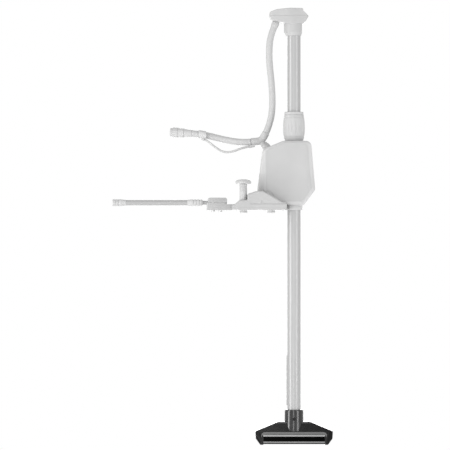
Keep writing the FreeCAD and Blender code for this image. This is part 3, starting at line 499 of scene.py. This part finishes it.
def touch(tree, start, direction):
    """First point of the surface along a ray. One that slips between two faces is tried again beside it."""
    for nudge in NUDGES:
        hit = tree.ray_cast(start + Vector((nudge, 0, nudge)), direction)[0]
        if hit is not None:
            return hit
    raise ValueError(f"no surface at {start}")


def height_on(chain, x):
    """Height of a chain of (x, z) points at x."""
    for (x0, z0), (x1, z1) in zip(chain, chain[1:]):
        if x0 <= x <= x1:
            return z0 + (z1 - z0) * (x - x0) / (x1 - x0)
    return chain[-1][1] if x > chain[-1][0] else chain[0][1]


def shell(name, outside, inside, body, material, bevel):
    """Closed plate between two grids of points with the same rows and columns, its edges bevelled."""
    rows, columns = len(outside), len(outside[0])
    vertices = [point for grid in (outside, inside) for row in grid for point in row]
    size = rows * columns
    faces = []
    for r in range(rows - 1):
        for c in range(columns - 1):
            a = r * columns + c
            face = (a, a + 1, a + columns + 1, a + columns)
            faces.append(face)
            faces.append(tuple(reversed([v + size for v in face])))
    rim = list(range(columns))
    rim += [r * columns + columns - 1 for r in range(1, rows)]
    rim += [(rows - 1) * columns + c for c in range(columns - 2, -1, -1)]
    rim += [r * columns for r in range(rows - 2, 0, -1)]
    for a, b in zip(rim, rim[1:] + rim[:1]):
        faces.append((b, a, a + size, b + size))
    mesh = bpy.data.meshes.new(name)
    mesh.from_pydata(vertices, [], faces)
    mesh.validate()
    piece = bpy.data.objects.new(name, mesh)
    bpy.context.collection.objects.link(piece)
    edge = piece.modifiers.new("edge", "BEVEL")
    edge.width = bevel
    edge.segments = 2
    edge.limit_method = "ANGLE"
    edge.angle_limit = BEVELLED
    piece.data.shade_smooth()
    piece.data.set_sharp_from_angle(angle=SHARP)
    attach(piece, body)
    paint(piece, material)
    return piece


def front_plate(name, top, bottom, node, proud, sunk, body, material, columns, rows, crown=0.0):
    """Plate laid on a node's front between two (x, z) chains in millimetres.

    It stands proud of the surface, and by the crown more along its middle.
    """
    tree = surface_of(node)
    outside, inside = [], []
    x0, x1 = top[0][0], top[-1][0]
    for i in range(columns + 1):
        x = x0 + (x1 - x0) * (1 - cos(pi * i / columns)) / 2
        low, high = height_on(bottom, x), height_on(top, x)
        outer, inner = [], []
        for j in range(rows + 1):
            z = low + (high - low) * j / rows
            hit = touch(tree, Vector((x * MM, BEFORE, z * MM)), INWARD)
            swell = crown * sin(pi * j / rows)
            outer.append(Vector((hit.x, hit.y - proud - swell, hit.z)))
            inner.append(Vector((hit.x, hit.y + sunk, hit.z)))
        outside.append(outer)
        inside.append(inner)
    return shell(name, outside, inside, body, material, 0.0003)


GROOVE_TURN = 3.0  # half width of a pad's channel, in degrees
GROOVE_DEPTH = 0.8  # its depth, as a share of the pad's thickness


def corner_pad(name, axis, turn, heights, node, proud, sunk, grooves, body, material):
    """Pad wrapped round an upright corner. grooves lists the turns, in degrees, of its upright channels."""
    tree = surface_of(node)
    columns, rows = 66, 24
    outside, inside = [], []
    for i in range(columns + 1):
        angle = turn[0] + (turn[1] - turn[0]) * i / columns
        away = Vector((-sin(radians(angle)), -cos(radians(angle)), 0))
        dip = max([0.0] + [1 - abs(angle - groove) / GROOVE_TURN for groove in grooves])
        outer, inner = [], []
        for j in range(rows + 1):
            z = heights[0] + (heights[1] - heights[0]) * j / rows
            start = Vector((axis[0] * MM, axis[1] * MM, z * MM)) + away * 0.2
            hit = touch(tree, start, -away)
            outer.append(hit + away * proud * (1 - min(1.0, 2 * dip) * GROOVE_DEPTH))
            inner.append(hit - away * sunk)
        outside.append(outer)
        inside.append(inner)
    return shell(name, outside, inside, body, material, 0.0002)


def chain_pair(x0, x1, low, high, corner):
    """Top and bottom chains of a level strip with round corners."""
    steps = [(corner * (1 - cos(pi * k / 12)), corner * (1 - sin(pi * k / 12))) for k in range(7)]
    left = [(x0 + dx, dz) for dx, dz in steps]
    right = [(x1 - dx, dz) for dx, dz in reversed(steps)]
    top = [(x, high - dz) for x, dz in left + right]
    bottom = [(x, low + dz) for x, dz in left + right]
    return top, bottom


# Outlines as (x, z) chains in millimetres, from left to right.
PANEL_TOP = [(25, 172), (26, 178), (29.5, 182.4), (66, 198.3), (74, 201.6), (80, 203), (128, 203.2),
             (136, 201.5), (141, 197), (143.5, 190), (155.6, 82), (156.6, 74)]
PANEL_BOTTOM = [(25, 65.2), (33.8, 63.9), (40.2, 60.2), (45, 54.5), (47.6, 47.5), (48.6, 41), (52, 37),
                (60, 35.3), (108, 33.8), (124, 34.3), (132, 38), (137, 43.5), (152.5, 65), (156.6, 72)]
SHOULDER_TOP = [(11.2, -643), (12.2, -639), (14.8, -635.7), (19.5, -633.6), (24, -633.2), (188, -633.2),
                (192.5, -633.6), (197.2, -635.7), (199.8, -639), (200.8, -643)]
SHOULDER_BOTTOM = [(11.2, -650), (13.2, -644), (16.5, -640.6), (22, -639.7), (190, -639.7), (195.5, -640.6),
                   (198.8, -644), (200.8, -650)]


END_BLOCK_TOP = [(-110.0, -638), (-109.2, -635.2), (-107, -633.8), (-101.5, -632.6), (-98.5, -634.0),
                 (-97.2, -637)]  # x from the pole's axis, left side
END_BLOCK_BOTTOM = [(-110.0, -649.5), (-109.0, -652.6), (-99.6, -665.6), (-97.2, -667.4)]


def make_housing_trim():
    """The raised flat on the housing's front, and the pad on its left corner above the deck."""
    front_plate("case_front_panel", PANEL_TOP, PANEL_BOTTOM, "housing_front", 0.0012, 0.0012,
                "steering_unit", PANEL_FINISH, 90, 60)
    corner_pad("case_corner_pad", (23.5, -22), (9, 78), (64.8, 111.6), "housing_front", 0.0006, 0.001,
               (20, 54), "steering_unit", PAD_FINISH)


def make_frame_trim():
    """The bands round the foot's window: its shoulder, the brow, whose lighter grey is a painted highlight
    along the window's top, and the sill.
    """
    front_plate("frame_shoulder", SHOULDER_TOP, SHOULDER_BOTTOM, "foot_frame", 0.0005, 0.0006,
                "shaft", SHOULDER_FINISH, 60, 6, 0.0004)
    top, bottom = chain_pair(16.4, 195.6, -646.4, -641.0, 1.6)
    front_plate("window_brow", top, bottom, "foot_frame", 0.0009, 0.0006,
                "shaft", BROW_PAINTED_HIGHLIGHT, 60, 8, 0.0007)
    top, bottom = chain_pair(17.0, 195.0, -664.0, -661.2, 1.0)
    front_plate("window_sill", top, bottom, "foot_frame", 0.0006, 0.0006,
                "shaft", SILL_FINISH, 60, 6, 0.0004)


def make_end_block(side, mirror):
    """Wear block on one of the foot's corners; mirror is 1 on the left and -1 on the right."""
    chains = []
    for chain in (END_BLOCK_TOP, END_BLOCK_BOTTOM):
        moved = [(SHAFT_X / MM + mirror * x, z) for x, z in chain]
        chains.append(moved if mirror == 1 else moved[::-1])
    front_plate("end_block_" + side, chains[0], chains[1], "foot_housing", 0.0012, 0.001,
                "shaft", END_BLOCK_FINISH, 24, 24, 0.0006)


make_housing_trim()
make_frame_trim()
make_end_block("left", 1)
make_end_block("right", -1)

# ------------------------------------------------------------------ floor and light

FLOOR_Z = -0.9
FLOOR_R = 2.3
FLOOR_SIDES = 96
FLOOR_GLOW = 0.22
ROOM_LIGHT = 0.72  # the room's white as the object sees it; the camera sees it at 1


def make_floor():
    mesh = bpy.data.meshes.new("floor")
    turns = [2 * pi * k / FLOOR_SIDES for k in range(FLOOR_SIDES)]
    ring = [(FLOOR_R * cos(turn), FLOOR_R * sin(turn), FLOOR_Z) for turn in turns]
    mesh.from_pydata(ring, [], [tuple(range(FLOOR_SIDES))])
    floor = bpy.data.objects.new("floor", mesh)
    bpy.context.collection.objects.link(floor)
    g = Graph("floor", 0.8, specular=0.1)
    g.colour(g.blend(g.noise(3, 2), (0.88, 0.88, 0.88), (0.92, 0.92, 0.92)))
    g.shader.inputs["Emission Color"].default_value = (1, 1, 1, 1)
    g.shader.inputs["Emission Strength"].default_value = FLOOR_GLOW
    paint(floor, g.material)


def make_room():
    world = bpy.data.worlds.new("world")
    world.use_nodes = True
    background = world.node_tree.nodes["Background"]
    background.inputs["Color"].default_value = (1, 1, 1, 1)
    seen = world.node_tree.nodes.new("ShaderNodeLightPath").outputs["Is Camera Ray"]
    level = world.node_tree.nodes.new("ShaderNodeMapRange")
    level.inputs["To Min"].default_value = ROOM_LIGHT
    world.node_tree.links.new(seen, level.inputs["Value"])
    world.node_tree.links.new(level.outputs["Result"], background.inputs["Strength"])
    bpy.context.scene.world = world
    bpy.context.scene.view_settings.view_transform = "Standard"


def softbox(name, bearing, distance, height, size, power):
    """Upright area light aimed at the pole; bearing 0 is the camera's side, positive to the right."""
    data = bpy.data.lights.new(name, "AREA")
    data.shape = "RECTANGLE"
    data.size, data.size_y = size
    data.energy = power
    light = bpy.data.objects.new(name, data)
    angle = radians(bearing)
    light.location = (SHAFT_X + distance * sin(angle), -distance * cos(angle), height)
    aim = Vector((SHAFT_X, 0, height)) - light.location
    light.rotation_euler = aim.to_track_quat("-Z", "Y").to_euler()
    light.visible_camera = False
    bpy.context.collection.objects.link(light)


make_floor()
make_room()
softbox("left_strip", -68, 1.8, -0.05, (0.42, 2.4), 26)
softbox("right_strip", 47, 1.8, -0.05, (0.36, 2.4), 17)
softbox("centre_strip", -6, 1.8, -0.05, (0.2, 2.4), 8)
softbox("back_sheet", 180, 2.4, 0.1, (1.0, 2.2), 26)
